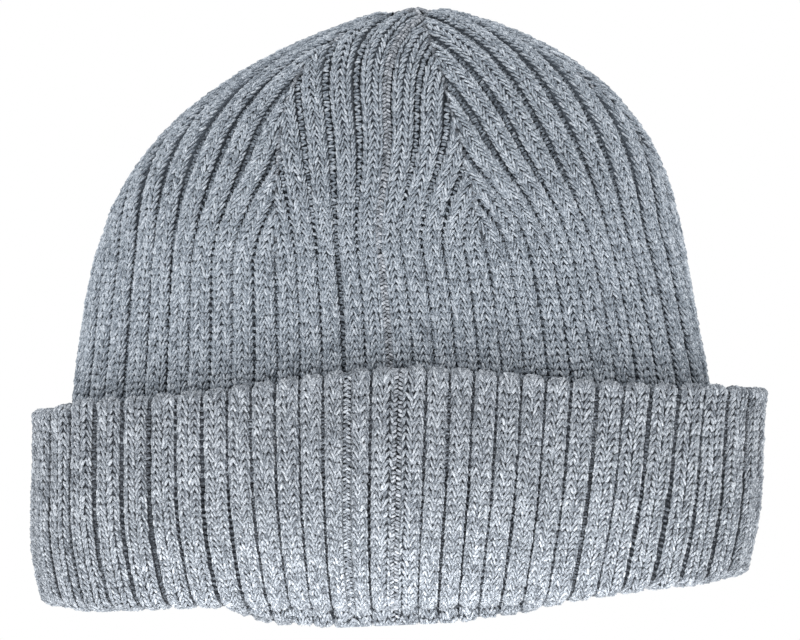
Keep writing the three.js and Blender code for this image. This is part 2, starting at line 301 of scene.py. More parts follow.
class Gore:
    """One gore. Its wales fan out from its middle line and meet its darts at a slant."""

    heights = np.linspace(GORE_START, HOLE_HEIGHT, 400)
    seed = CROWN_SEED
    flipped = False
    base = GORE_START - BODY_START
    shut_rise = 0.17

    def __init__(self, first_rib, last_rib, skew, purl_lift):
        self.first = first_rib
        self.last = last_rib
        self.skew = skew
        self.purl_lift = purl_lift
        self.middle = (first_rib + last_rib) / 2
        self.share = rib_share(self.middle, CROWN_RIB_EASE)
        self.span = rib_share(last_rib, CROWN_RIB_EASE) - rib_share(first_rib, CROWN_RIB_EASE)
        line = crown_point(np.full(self.heights.shape, self.share), self.heights)
        steps = np.linalg.norm(np.diff(line, axis=0), axis=1)
        self.climbs = np.concatenate([[0], np.cumsum(steps)])
        self.length = self.climbs[-1]
        self.pitch = crown_girth(GORE_START) * self.span / (last_rib - first_rib)
        beside = crown_point(np.full(self.heights.shape, self.share + NEARBY), self.heights)
        level_way = unit(beside - line)
        up_way = unit(np.gradient(line, axis=0))
        cosine = np.sum(level_way * up_way, axis=1)
        sine = np.sqrt(1 - cosine**2)
        lean = np.clip(cosine / sine, -SQUARING_LIMIT, SQUARING_LIMIT)
        self.slope = lean * smooth_step(0, SQUARING_END, self.climbs)
        self.stretch = np.sqrt(1 + self.slope**2)

    def patch(self, part, height):
        """A point of the gore. part is 0 on its middle line and -1 or 1 at its edges."""
        return crown_point(self.share + part * self.span / 2, height)

    def half_width(self, height):
        return 0.5 * self.span * crown_girth(height)

    def across(self, ribs, up):
        """Millimetres from the middle line: the wales spread and skew as they climb."""
        spread = 1 + FAN * smooth_step(0, FAN_END, up)
        return (ribs - self.middle) * self.pitch * spread + self.skew * smooth_step(0, FAN_END, up)

    def ribs_at(self, across, up):
        spread = 1 + FAN * smooth_step(0, FAN_END, up)
        return self.middle + (across - self.skew * smooth_step(0, FAN_END, up)) / (self.pitch * spread)

    def place(self, across, up):
        """The climb of a stitch and its distance along the level from the middle line. Courses run
        square to the wales, so where the middle line leans they climb or fall away from it."""
        climb = up
        for _ in range(PLACING_ROUNDS):
            climb = 0.5 * climb + 0.5 * (up - across * np.interp(climb, self.climbs, self.slope))
        return climb, across * np.interp(climb, self.climbs, self.stretch)

    def height_at(self, climb):
        """The height at a climb up the middle line, which goes on straight down below its start."""
        return np.interp(climb, self.climbs, self.heights) + np.minimum(climb, 0)

    def point(self, ribs, up):
        climb, level = self.place(self.across(ribs, up), up)
        height = self.height_at(climb)
        return crown_point(self.share + level / crown_girth(height), height)

    def inset(self, ribs, up):
        """How far inside the gore's edges a stitch lies, in millimetres."""
        climb, level = self.place(self.across(ribs, up), up)
        height = self.height_at(climb)
        inside = (climb >= 0) & (climb < self.length - HOLE_ROOM)
        return np.where(inside, self.half_width(height) - np.abs(level), -1.0)

    def open(self, ribs, up):
        return body.open(ribs, up) + FAN_OPENING * smooth_step(0, FAN_END, up)


def make_cuff_path():
    """The cuff's section as a line: its lengths, and each corner's depth inside the band's outer face,
    height, and place between the inner wall at 0 and the outer face at 1.

    It runs from the inner edge round the fold's lip and roll, up the band, over the welt and down."""
    turn = np.linspace(0, math.pi / 2, 9)
    third = FOLD_SPAN / 3
    inner = np.stack([FOLD_SPAN - third * (1 - np.cos(turn)), FOLD_ROUND * (1 - np.sin(turn))], axis=1)
    step = np.array([[FOLD_SPAN * (1 - LIP_SHARE), 0.0], [FOLD_SPAN * LIP_SHARE, 0.0]])
    outer = np.stack([third * (1 - np.sin(turn)), FOLD_ROUND * (1 - np.cos(turn))], axis=1)
    round_trip = np.linspace(0, math.pi, 17)
    welt_half = BAND_THICKNESS / 2 + WELT_SWELL
    crest_depth = BAND_THICKNESS / 2 - welt_half * np.cos(round_trip)
    crest_height = WELT_TOP - welt_half + welt_half * np.sin(round_trip)
    crest = np.stack([crest_depth, crest_height], axis=1)
    start = np.array([[FOLD_SPAN, INNER_EDGE]])
    under_welt = np.array([[0.0, WELT_TOP - WELT_REACH]])
    tail = np.array([[BAND_THICKNESS, WELT_TOP - TAIL_START], [BAND_THICKNESS, WELT_TOP - TAIL_END]])
    line = np.concatenate([start, inner, step, outer, under_welt, crest, tail])
    out = np.where(line[:, 1] > FOLD_ROUND, 1.0, 1 - line[:, 0] / FOLD_SPAN)
    out[0] = 0.0
    nominal = line[:, 1] + RIM_RISE * smooth_step(LIP_SHARE, 1 - LIP_SHARE, out)
    nominal[line[:, 1] > FOLD_ROUND] = line[line[:, 1] > FOLD_ROUND, 1] + RIM_RISE
    nominal[0] = INNER_EDGE
    steps = np.hypot(np.diff(line[:, 0]), np.diff(nominal))
    lengths = np.concatenate([[0], np.cumsum(steps)])
    before_crest = len(start) + len(inner) + len(step) + len(outer) + len(under_welt)
    crest_middle = before_crest + len(crest) // 2
    return lengths, line[:, 0], line[:, 1], out, lengths[crest_middle]


path_lengths, path_depths, path_heights, path_outs, WELT_CREST = make_cuff_path()


class Cuff:
    """The turned-up cuff. Up is millimetres along its section's line, from the inner edge."""

    pitch = CUFF_RIB_PITCH
    seed = CUFF_SEED
    flipped = True
    base = 0.0
    purl_lift = 0.35
    shut_rise = 0.0
    length = path_lengths[-1]

    def point(self, ribs, up):
        depth = np.interp(up, path_lengths, path_depths)
        height = np.interp(up, path_lengths, path_heights)
        ease = CUFF_RIB_EASE + CUFF_FOOT_EASE * (1 - np.clip(height / WELT_TOP, 0, 1)) ** 1.5
        share = rib_share(make_room(ribs, SEAM_ROOM), ease, CUFF_RIB_FLAT)
        x, y = band_oval(share)
        near_x, near_y = band_oval(share + NEARBY)
        step = np.hypot(near_x - x, near_y - y)
        inward = np.stack([-(near_y - y) / step, (near_x - x) / step])
        out = np.interp(up, path_lengths, path_outs)
        reach = smooth_step(FOLD_REACH_START, FOLD_REACH_END, np.abs(x)) * (1 - out)
        depth = depth + reach * np.where(x < 0, FOLD_REACH_LEFT, FOLD_REACH_RIGHT)
        drawn = 1 - CUFF_TAPER * np.maximum(0, 1 - height / CUFF_TAPER_HEIGHT) ** 2
        climb = np.maximum(height / WELT_TOP, 0) ** 1.5
        drift = CUFF_FOOT_DRIFT + (CUFF_TOP_DRIFT - CUFF_FOOT_DRIFT) * climb
        finger = FINGER_RISE * (1 - np.abs(2 * ((ribs % 1) - 0.5)) ** 2.5) - FINGER_DROP
        z = height + rim_lift(share, height, out) + band_arch(share, height)
        z = z + finger * smooth_step(WELT_TOP - 12, WELT_TOP, height)
        return np.stack([x * drawn + drift + inward[0] * depth, y + inward[1] * depth, z], axis=-1)

    def open(self, ribs, up):
        """How far the ribs have spread apart: less in the fold, and not at all on the welt's crest."""
        off_welt = smooth_step(0, 5, np.abs(up - WELT_CREST))
        off_fold = 0.2 + 0.8 * smooth_step(10, 22, up)
        return (CUFF_OPENING + gap_spread(ribs)) * off_welt * off_fold

    def inset(self, ribs, up):
        """No stitch of the cuff is near an edge that another cloth starts at."""
        return np.full(np.shape(ribs), FAR_INSIDE)


def gap_spread(ribs):
    """Each gap between ribs has a width of its own."""
    return gap_widths[np.round(ribs).astype(int) % RIBS]


gap_widths = np.random.default_rng(3).uniform(*GAP_WIDTHS, RIBS)
gap_widths[WIDE_GAP] = WIDE_GAP_WIDTH
rib_phases = np.random.default_rng(5).uniform(-0.5, 0.5, (RIBS, 2))
body = Body()
cuff = Cuff()


def stretch_along(place, ribs, up):
    """How far the cloth is drawn out along its wales."""
    return np.linalg.norm(place(ribs, up + 0.25) - place(ribs, up - 0.25), axis=-1) / 0.5


def frames(place, ribs, up):
    """Points of a cloth with their directions across the wale, up the wale and out of the cloth."""
    point = place(ribs, up)
    along = place(ribs + 0.01, up) - place(ribs - 0.01, up)
    rise = unit(place(ribs, up + 0.25) - place(ribs, up - 0.25))
    out = unit(np.cross(along, rise))
    return point, unit(np.cross(rise, out)), rise, out


# ---------------------------------------------------------------- meshes


def lemon(sides, stations):
    """A closed grain along Y from -1 to 1: its corners, faces, and each face corner's place in UV."""
    corners = [(0.0, -1.0, 0.0)]
    for station in stations:
        radius = (1 - station**2) ** 0.45
        for side in range(sides):
            turn = TURN * side / sides
            corners.append((radius * math.cos(turn), station, radius * math.sin(turn)))
    corners.append((0.0, 1.0, 0.0))
    last = len(corners) - 1
    faces, places = [], []
    for side in range(sides):
        after = (side + 1) % sides
        left, right = side / sides, (side + 1) / sides
        bottom, top = 0.5 + stations[0] / 2, 0.5 + stations[-1] / 2
        faces.append((0, 1 + after, 1 + side))
        places.append([((left + right) / 2, 0.0), (right, bottom), (left, bottom)])
        for row in range(len(stations) - 1):
            low, high = 1 + row * sides, 1 + (row + 1) * sides
            faces.append((low + side, low + after, high + after, high + side))
            v_low, v_high = 0.5 + stations[row] / 2, 0.5 + stations[row + 1] / 2
            places.append([(left, v_low), (right, v_low), (right, v_high), (left, v_high)])
        ring = last - sides
        faces.append((ring + side, ring + after, last))
        places.append([(left, top), (right, top), ((left + right) / 2, 1.0)])
    return np.array(corners), faces, places


GRAIN = lemon(5, [-0.5, 0.5])


YARN_SHIFT = 60
CELL_MARGIN = 0.08
SHELL_MARGIN = 0.01


class Builder:
    """Gathers corners, faces and per-corner values, and makes one mesh of them."""

    def __init__(self):
        self.parts = []
        self.count = 0

    def add(self, corners, yarn, tone, loops, sizes, places):
        self.parts.append((corners, yarn, tone, loops + self.count, sizes, places))
        self.count += len(corners)

    def mesh(self, name):
        corners, yarns, tones, loops, sizes, places = (np.concatenate(part) for part in zip(*self.parts))
        mesh = bpy.data.meshes.new(name)
        mesh.vertices.add(len(corners))
        mesh.vertices.foreach_set("co", (corners * MM).astype(np.float32).ravel())
        mesh.loops.add(len(loops))
        mesh.loops.foreach_set("vertex_index", loops.astype(np.int32))
        mesh.polygons.add(len(sizes))
        starts = np.concatenate([[0], np.cumsum(sizes)[:-1]])
        mesh.polygons.foreach_set("loop_start", starts.astype(np.int32))
        mesh.polygons.foreach_set("loop_total", sizes.astype(np.int32))
        mesh.update(calc_edges=True)
        mesh.polygons.foreach_set("use_smooth", np.ones(len(sizes), dtype=bool))
        layer = mesh.uv_layers.new(name="OFBake")
        layer.data.foreach_set("uv", places.astype(np.float32).ravel())
        yarn = mesh.attributes.new("yarn", "FLOAT_VECTOR", "POINT")
        yarn.data.foreach_set("vector", yarns.astype(np.float32).ravel())
        tone = mesh.attributes.new("tone", "FLOAT", "POINT")
        tone.data.foreach_set("value", tones.astype(np.float32))
        mesh.validate()
        return mesh


def add_grains(builder, frame, slant, roll, size, shift, tone, tile, tilt=0.0):
    """Adds one yarn grain at each place of a frame.

    size holds each grain's length, width, thickness and bend; shift moves it sideways, and tilt
    sinks its upper end and lifts its lower one."""
    place, across, rise, out = frame
    shape, faces, uv_places = GRAIN
    count = len(place)
    if count == 0:
        return
    cos_roll, sin_roll = np.cos(roll)[:, None], np.sin(roll)[:, None]
    side = across * cos_roll + out * sin_roll
    face = out * cos_roll - across * sin_roll
    cos_slant, sin_slant = np.cos(slant)[:, None], np.sin(slant)[:, None]
    long_way = rise * cos_slant + side * sin_slant
    wide_way = side * cos_slant - rise * sin_slant
    length, width, thick, bend = size.T[:, :, None]
    x = shape[None, :, 0] * width / 2 + shift[:, None]
    y = shape[None, :, 1] * length / 2
    z = shape[None, :, 2] * thick / 2 - bend * shape[None, :, 1] ** 2 - tilt * shape[None, :, 1]
    corners = (
        place[:, None, :]
        + x[..., None] * wide_way[:, None, :]
        + y[..., None] * long_way[:, None, :]
        + z[..., None] * face[:, None, :]
    )
    yarn = np.stack([x, y, z], axis=-1) + rng.uniform(-YARN_SHIFT, YARN_SHIFT, (count, 1, 3))
    loop_template = np.concatenate([np.array(corner_list) for corner_list in faces])
    size_template = np.array([len(corner_list) for corner_list in faces])
    uv_template = np.concatenate([np.array(corner_list) for corner_list in uv_places])
    loops = (loop_template[None, :] + (np.arange(count) * len(shape))[:, None]).ravel()
    low, high = tile
    columns = math.ceil(math.sqrt(count / 2))
    rows = math.ceil(count / columns)
    cell = np.array([(high[0] - low[0]) / columns, (high[1] - low[1]) / rows])
    index = np.arange(count)
    corner = np.stack([index % columns, index // columns], axis=1) * cell + np.array(low)
    places = corner[:, None, :] + (CELL_MARGIN + (1 - 2 * CELL_MARGIN) * uv_template[None]) * cell
    builder.add(corners.reshape(-1, 3), yarn.reshape(-1, 3), np.repeat(tone, len(shape)), loops,
                np.tile(size_template, count), places.reshape(-1, 2))


def grid_faces(columns, rows, start, flip):
    """The quads of a grid of corners, row by row."""
    column, row = np.meshgrid(np.arange(columns - 1), np.arange(rows - 1))
    low = start + row * columns + column
    quad = np.stack([low, low + 1, low + columns + 1, low + columns], axis=-1).reshape(-1, 4)
    return quad[:, ::-1] if flip else quad


def add_shell(builder, place, first, second, outer, inner, tone, tile):
    """Adds a closed slab of fabric over a grid of place's two coordinates, first and second.

    outer and inner are the offsets of its two faces."""
    rows, columns = first.shape
    point, _, _, out = frames(place, first, second)
    front = (point + out * outer[..., None]).reshape(-1, 3)
    back = (point + out * inner[..., None]).reshape(-1, 3)
    corners = np.concatenate([front, back])
    span = rows * columns
    quads = [grid_faces(columns, rows, 0, False), grid_faces(columns, rows, span, True)]
    index = np.arange(span).reshape(rows, columns)
    for edge, flip in ((index[0], True), (index[-1], False), (index[:, 0], False), (index[:, -1], True)):
        wall = np.stack([edge[:-1], edge[1:], edge[1:] + span, edge[:-1] + span], axis=-1)
        quads.append(wall[:, ::-1] if flip else wall)
    quads = np.concatenate(quads)
    low, high = np.array(tile[0]), np.array(tile[1])
    column, row = np.meshgrid(np.linspace(0, 1, columns), np.linspace(0, 1, rows))
    flat = np.stack([column, row], axis=-1).reshape(-1, 2)
    half = np.array([(high[0] - low[0]) / 2, high[1] - low[1]])
    flat = flat * half * (1 - 2 * SHELL_MARGIN)
    uv = np.concatenate([low + flat, low + [half[0], 0] + flat])
    builder.add(corners, corners, np.tile(tone.ravel(), 2), quads.ravel(),
                np.full(len(quads), 4), uv[quads.ravel()])


# ---------------------------------------------------------------- rib knit

# Sizes are in millimetres, apart from offsets and widths across the wales, which are in ribs.
LEG_OFFSETS = np.array([-0.335, -0.112, 0.112, 0.335])
LEG_SPREAD = 1.09
LEG_CROWDING = 0.28
LEG_LENGTH = 3.4
LEG_WIDTH = 0.245
LEG_THICKNESS = 1.25
LEG_BEND = 0.50
LEG_TILT = 0.2
LEG_SLANT = 0.42
LEG_TONE = 0.60
PLY_WIDTH = 0.62
PLY_OFFSET = 0.25
PLY_SLANT = 0.07
LEG_STRETCH = (0.8, 1.7)
INNER_LEG_DEPTH = -0.35
OUTER_LEG_DEPTH = -0.95
INNER_LEG_ROLL = -0.12
OUTER_LEG_ROLL = -0.65
OUTER_LEG_SLANT = 0.85
EDGE_SINK = 0.8
EDGE_REACH = 2.6
EDGE_ROOM = 0.35
RIB_WANDER = 0.05
COURSE_WANDER = 0.5
RIB_JITTER = 0.012
PURL_LENGTH = 0.20
PURL_LENGTHENING = 0.22
PURL_WIDTH = 1.05
PURL_THICKNESS = 0.95
PURL_BEND = 0.35
PURL_SLANT = 0.32
# The purl bumps' lowest tone, painted shade.
PURL_PAINTED_SHADE = 0.05
PURL_ROOM = 0.3
PURL_OPENING = 0.3
SEAM_STEP = 1.2
SEAM_ROW_OFFSET = 0.06
SEAM_LOOP_LENGTH = 0.27
SEAM_LOOP_WIDTH = 1.05
SEAM_LOOP_THICKNESS = 1.2
SEAM_LOOP_BEND = 0.25
SEAM_LOOP_SLANT = 0.5
SEAM_DEPTH = -0.45
SEAM_TONE = 0.58
SHELL_TOP = -1.15
SHELL_GAP_LIFT = 0.55
SHELL_STEPS = 8
GAP_SIDE = (0.27, 0.47)
# How far from a rib's middle the painted shade of an open gap starts and is full.
PAINTED_SHADE_GAP_SIDE = (0.34, 0.42)
SHUT_GAP_DEPTH = -1.3
OPEN_GAP_DEPTH = -3.0
CUFF_BACK = -3.3
WELT_BACK = -1.75
WELT_THINNING = 9
CUFF_SEAM_END = WELT_CREST + 4
FABRIC_BACK = -3.0
FABRIC_BACK_RELIEF = 0.6
MIN_SHELL = 0.3
# Tones of the shell, painted shade: the shade in the open gaps and the shade under the ribs.
GAP_PAINTED_SHADE = -0.3
UNDER_RIB_PAINTED_SHADE = 0.12
SHELL_TILE = ((0.0, 0.0), (1.0, 0.12))
LEG_TILE = ((0.0, 0.13), (1.0, 0.80))
PURL_TILE = ((0.0, 0.81), (1.0, 1.0))
GORE_COURSES = (-16, 56)
GORE_ROWS = 44
KNOT_TILE_TOP = 0.85
PLUG_TILE = ((0.0, 0.87), (1.0, 1.0))
PLUG_DROP = 2.4
PLUG_MARGIN = 0.4
PLUG_THICKNESS = 1.2
PLUG_STEPS = 12

# Each ring of the knot has a number, a count of loops, a reach and a drop. A loop has a length, a width,
# a thickness and a bend.
KNOT_RINGS = ((0, 16, 0.40, 2.0), (1, 10, 0.20, 1.0), (2, 3, 0.05, 0.9))
KNOT_LOOP = [5.0, 1.5, 1.5, 0.6]
DART_LOOP = [2.6, 1.3, 1.1, 0.3]
DART_DEPTH = -1.6


def wander(ribs, up, seed, reach):
    """A slow, smooth shift over the fabric, so that ribs and courses aren't ruled lines."""
    phases = np.random.default_rng(seed).uniform(0, TURN, 6)
    value = np.sin(ribs * 0.71 + phases[0]) * np.sin(up * 0.052 + phases[1])
    value += 0.7 * np.sin(ribs * 1.93 + up * 0.031 + phases[2])
    value += 0.5 * np.sin(ribs * 0.31 - up * 0.093 + phases[3])
    value += 0.35 * np.sin(ribs * 4.1 + up * 0.14 + phases[4])
    return reach * value / 2.0


def gap_depth(open_share):
    """How deep the gap between two ribs runs below the outer face."""
    return SHUT_GAP_DEPTH + (OPEN_GAP_DEPTH - SHUT_GAP_DEPTH) * np.clip(open_share * 2.0, 0, 1)


def rib_relief(cloth, ribs, up):
    """The shell's offset under the ribs: high under each rib and low in each gap."""
    in_gap = smooth_step(*GAP_SIDE, np.abs((ribs % 1) - 0.5))
    return SHELL_TOP + (gap_depth(cloth.open(ribs, up)) + SHELL_GAP_LIFT) * in_gap


def back_relief(ribs):
    """The offset of the crown's inner face, which has shallow ribs of its own."""
    return FABRIC_BACK + FABRIC_BACK_RELIEF * np.cos(TURN * ((ribs % 1) - 0.5))


def shell_painted_shade(cloth, ribs, up):
    """The shell's tone, all painted shade: dark under the ribs, where the legs shade it, and darker in
    the gaps that have opened.
    """
    in_gap = smooth_step(*PAINTED_SHADE_GAP_SIDE, np.abs((ribs % 1) - 0.5))
    opened = np.clip(cloth.open(ribs, up) * 3, 0, 1)
    return UNDER_RIB_PAINTED_SHADE + (GAP_PAINTED_SHADE - UNDER_RIB_PAINTED_SHADE) * in_gap * opened


def sink(frame, depth):
    """A frame with its points moved out of the cloth by a depth, which is negative below the surface."""
    point, across, rise, out = frame
    return point + out * depth[:, None], across, rise, out


def add_legs(builder, cloth, numbers, ups):
    """The visible legs of every knit stitch: four to a rib in each course, each leg of two plies."""
    rib, up, leg, ply = np.meshgrid(numbers, ups, np.arange(4), np.array([-1.0, 1.0]), indexing="ij")
    rib, up, leg, ply = rib.ravel().astype(float), up.ravel(), leg.ravel(), ply.ravel()
    count = len(rib)
    stitch_noise = np.repeat(rng.normal(0, 1, (count // 2, 4)), 2, axis=0)
    side = np.where(leg % 2 == 0, -1.0, 1.0)
    outer = (leg == 0) | (leg == 3)
    gap = np.where(leg < 2, rib, rib + 1)
    spread = np.clip(cloth.open(gap, up), 0, 1)
    shut = 1 - smooth_step(0.0, 0.3, spread)

    climbed = up + cloth.base
    offset = LEG_OFFSETS[leg] * (LEG_SPREAD - LEG_CROWDING * spread)
    ribs = rib + 0.5 + offset + wander(rib, climbed, cloth.seed, RIB_WANDER)
    ribs = ribs + RIB_JITTER * stitch_noise[:, 0]
    phase = rib_phases[rib.astype(int) % RIBS, leg // 2]
    up = up + wander(rib, climbed, cloth.seed + 1, COURSE_WANDER) + COURSE * phase
    inset = cloth.inset(ribs, up)
    up = up + 0.13 * stitch_noise[:, 1]

    size = np.stack([
        LEG_LENGTH * rng.normal(1.0, 0.07, count),
        cloth.pitch * LEG_WIDTH * PLY_WIDTH * rng.normal(1.0, 0.08, count) * (1 - 0.12 * spread),
        rng.normal(LEG_THICKNESS, 0.08, count),
        rng.normal(LEG_BEND, 0.05, count),
    ], axis=1)
    depth = np.where(outer, OUTER_LEG_DEPTH + cloth.shut_rise * shut, INNER_LEG_DEPTH)
    depth = depth + 0.09 * stitch_noise[:, 2] + rng.normal(0, 0.05, count)
    depth = depth - EDGE_SINK * (1 - smooth_step(0.0, EDGE_REACH, inset))
    leg_slant = -LEG_SLANT if cloth.flipped else LEG_SLANT
    slant = side * np.where(outer, OUTER_LEG_SLANT, 1.0) * leg_slant
    slant = slant + 0.05 * stitch_noise[:, 3] + ply * PLY_SLANT + rng.normal(0, 0.05, count)
    roll = np.where(outer, side * (cloth.shut_rise * shut + OUTER_LEG_ROLL), side * INNER_LEG_ROLL)
    tone = LEG_TONE + 0.03 * wander(ribs * 0.6, climbed * 3.0, cloth.seed + 2, 1.0)
    tone = tone + rng.normal(0, 0.09, count)
    shift = ply * PLY_OFFSET * cloth.pitch * LEG_WIDTH

    keep = inset > EDGE_ROOM
    size = size[keep]
    size[:, 0] *= np.clip(stretch_along(cloth.point, ribs[keep], up[keep]), *LEG_STRETCH)
    tilt = -LEG_TILT if cloth.flipped else LEG_TILT
    frame = sink(frames(cloth.point, ribs[keep], up[keep]), depth[keep])
    add_grains(builder, frame, slant[keep], roll[keep], size, shift[keep], tone[keep], LEG_TILE, tilt)


def add_purls(builder, cloth, numbers, ups):
    """The purl bumps in the gap at the left of each rib. They lie across it, two rows to a course, and
    one where the gap is shut."""
    rib, up, half = np.meshgrid(numbers, ups, np.array([0.0, 0.5]), indexing="ij")
    rib, up, half = rib.ravel().astype(float), up.ravel(), half.ravel()
    spread = np.clip(cloth.open(rib, up), 0, 1)
    count = len(rib)
    ribs = rib + wander(rib, up + cloth.base, cloth.seed, RIB_WANDER) + rng.normal(0, RIB_JITTER, count)
    up = up + half * COURSE + rng.normal(0, 0.10, count)
    inset = cloth.inset(ribs, up)
    depth = gap_depth(spread) + cloth.purl_lift + rng.normal(0, 0.12, count)
    size = np.stack([
        cloth.pitch * (PURL_LENGTH + PURL_LENGTHENING * spread) * rng.normal(1.0, 0.12, count),
        rng.normal(PURL_WIDTH, 0.10, count),
        np.full(count, PURL_THICKNESS),
        rng.normal(PURL_BEND, 0.10, count),
    ], axis=1)
    slant = math.pi / 2 + np.where(half > 0, PURL_SLANT, -PURL_SLANT) + rng.normal(0, 0.20, count)
    # Painted shade: purl bumps are painted darker than the legs, and the lower they sit, the darker.
    tone = PURL_PAINTED_SHADE + 0.45 * cloth.purl_lift + rng.normal(0, 0.12, count)
    keep = (inset > PURL_ROOM) & ((spread > PURL_OPENING) | (half > 0))
    frame = sink(frames(cloth.point, ribs[keep], up[keep]), depth[keep])
    flat = np.zeros(keep.sum())
    add_grains(builder, frame, slant[keep], flat, size[keep], flat, tone[keep], PURL_TILE)


def course_line(first, last):
    """The middles of the courses that fill a stretch of fabric."""
    count = round((last - first) / COURSE)
    return first + (np.arange(count) + 0.5) * (last - first) / count


def add_seam_column(builder, cloth, rib, first, last):
    """A wide gap filled with short loops laid across it, in two leaning rows, below the ribs' crests."""
    steps = int((last - first) / SEAM_STEP)
    up = np.repeat(first + (np.arange(steps) + 0.5) * SEAM_STEP, 2)
    row = np.tile([-1.0, 1.0], steps)
    count = len(up)
    ribs = rib + row * SEAM_ROW_OFFSET + wander(float(rib), up, cloth.seed, 0.03)
    ribs = ribs + rng.normal(0, 0.008, count)
    frame = frames(cloth.point, ribs, up + rng.normal(0, 0.12, count) + 0.3 * row)
    frame = sink(frame, rng.normal(SEAM_DEPTH, 0.10, count))
    size = np.stack([
        np.full(count, cloth.pitch * SEAM_LOOP_LENGTH),
        rng.normal(SEAM_LOOP_WIDTH, 0.08, count),
        np.full(count, SEAM_LOOP_THICKNESS),
        np.full(count, SEAM_LOOP_BEND),
    ], axis=1)
    slant = math.pi / 2 + row * SEAM_LOOP_SLANT + rng.normal(0, 0.15, count)
    tone = rng.normal(SEAM_TONE, 0.14, count)
    flat = np.zeros(count)
    add_grains(builder, frame, slant, flat, size, flat, tone, LEG_TILE)


# ---------------------------------------------------------------- materials


FIBRE_CONTRAST = 1.7
TONE_CONTRAST = 0.8
TONE_LEVEL = -0.78


def knit_material(slot, dark, middle, light):
    """Heather yarn: fibres run along each grain, and each stitch has a tone of its own. The tone also
    carries painted shade, on the shell and on the purl bumps.
    """
    material = bpy.data.materials.new(f"{slot}_yarn")
    material.use_nodes = True
    nodes, links = material.node_tree.nodes, material.node_tree.links
    shader = nodes["Principled BSDF"]
    shader.inputs["Roughness"].default_value = 0.92
    shader.inputs["Specular IOR Level"].default_value = 0.2
    shader.inputs["Sheen Weight"].default_value = 0.15
    shader.inputs["Sheen Roughness"].default_value = 0.5

    yarn = nodes.new("ShaderNodeAttribute")
    yarn.attribute_name = "yarn"
    tone = nodes.new("ShaderNodeAttribute")
    tone.attribute_name = "tone"

    fibre_map = nodes.new("ShaderNodeMapping")
    fibre_map.inputs["Scale"].default_value = (4.6, 1.3, 4.6)
    fibre_map.inputs["Rotation"].default_value = (0.0, 0.0, 0.3)
    links.new(yarn.outputs["Vector"], fibre_map.inputs["Vector"])
    fibre = nodes.new("ShaderNodeTexNoise")
    fibre.inputs["Scale"].default_value = 1.0
    fibre.inputs["Detail"].default_value = 2.0
    fibre.inputs["Roughness"].default_value = 0.6
    links.new(fibre_map.outputs["Vector"], fibre.inputs["Vector"])

    blend = nodes.new("ShaderNodeMath")
    blend.operation = "MULTIPLY_ADD"
    blend.inputs[1].default_value = FIBRE_CONTRAST
    links.new(fibre.outputs["Fac"], blend.inputs[0])
    lowered = nodes.new("ShaderNodeMath")
    lowered.operation = "MULTIPLY_ADD"
    lowered.inputs[1].default_value = TONE_CONTRAST
    lowered.inputs[2].default_value = TONE_LEVEL
    links.new(tone.outputs["Fac"], lowered.inputs[0])
    links.new(lowered.outputs[0], blend.inputs[2])

    ramp = nodes.new("ShaderNodeValToRGB")
    ramp.color_ramp.elements[0].position = 0.15
    ramp.color_ramp.elements[0].color = (*dark, 1)
    ramp.color_ramp.elements[1].position = 0.85
    ramp.color_ramp.elements[1].color = (*light, 1)
    centre = ramp.color_ramp.elements.new(0.5)
    centre.color = (*middle, 1)
    links.new(blend.outputs[0], ramp.inputs["Fac"])
    links.new(ramp.outputs["Color"], shader.inputs["Base Color"])

    bump = nodes.new("ShaderNodeBump")
    bump.inputs["Strength"].default_value = 0.6
    bump.inputs["Distance"].default_value = 0.0006
    links.new(fibre.outputs["Fac"], bump.inputs["Height"])
    links.new(bump.outputs["Normal"], shader.inputs["Normal"])
    return material


# ---------------------------------------------------------------- pieces


def make_piece(name, builder, material, body_name, nodes):
    piece = bpy.data.objects.new(name, builder.mesh(name))
    bpy.context.scene.collection.objects.link(piece)
    piece.data.materials.append(material)
    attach(piece, body_name)
    if nodes:
        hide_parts(*nodes)
    return piece


def rib_grid(first, last, low, high):
    """A grid of fabric coordinates over a patch."""
    columns = np.linspace(first, last, (last - first) * SHELL_STEPS + 1)
    rows = np.linspace(low, high, max(2, round((high - low) / COURSE) + 1))
    return np.meshgrid(columns, rows)


def build_cuff(material):
    quarter = RIBS // 4
    for number in range(4):
        first, last = number * quarter, (number + 1) * quarter
        builder = Builder()
        ribs, up = rib_grid(first, last, 0.3, cuff.length - 0.3)
        nearing_welt = smooth_step(WELT_CREST - WELT_THINNING, WELT_CREST, up)
        inner = CUFF_BACK + (WELT_BACK - CUFF_BACK) * nearing_welt
        outer = np.maximum(rib_relief(cuff, ribs, up), inner + MIN_SHELL)
        add_shell(builder, cuff.point, ribs, up, outer, inner, shell_painted_shade(cuff, ribs, up), SHELL_TILE)
        numbers, ups = np.arange(first, last), course_line(1.0, cuff.length - 1.0)
        add_legs(builder, cuff, numbers, ups)
        add_purls(builder, cuff, numbers[numbers > 0], ups)
        if WIDE_GAP in numbers:
            add_seam_column(builder, cuff, WIDE_GAP, 0.5, CUFF_SEAM_END)
        make_piece(f"knit_cuff_{number + 1}", builder, material, "cuff",
                   ["cuff_band", "cuff_fold", "cuff_welt"])


def build_body(material):
    quarter = RIBS // 4
    for number in range(4):
        first, last = number * quarter, (number + 1) * quarter
        builder = Builder()
        ribs, up = rib_grid(first, last, 0.0, body.length)
        inner = back_relief(ribs)
        outer = np.maximum(rib_relief(body, ribs, up), inner + MIN_SHELL)
        add_shell(builder, body.point, ribs, up, outer, inner, shell_painted_shade(body, ribs, up), SHELL_TILE)
        numbers, ups = np.arange(first, last), course_line(0.0, body.length + COURSE)
        add_legs(builder, body, numbers, ups)
        add_purls(builder, body, numbers[numbers > 0], ups)
        make_piece(f"knit_body_{number + 1}", builder, material, "crown", ["body_tube"])


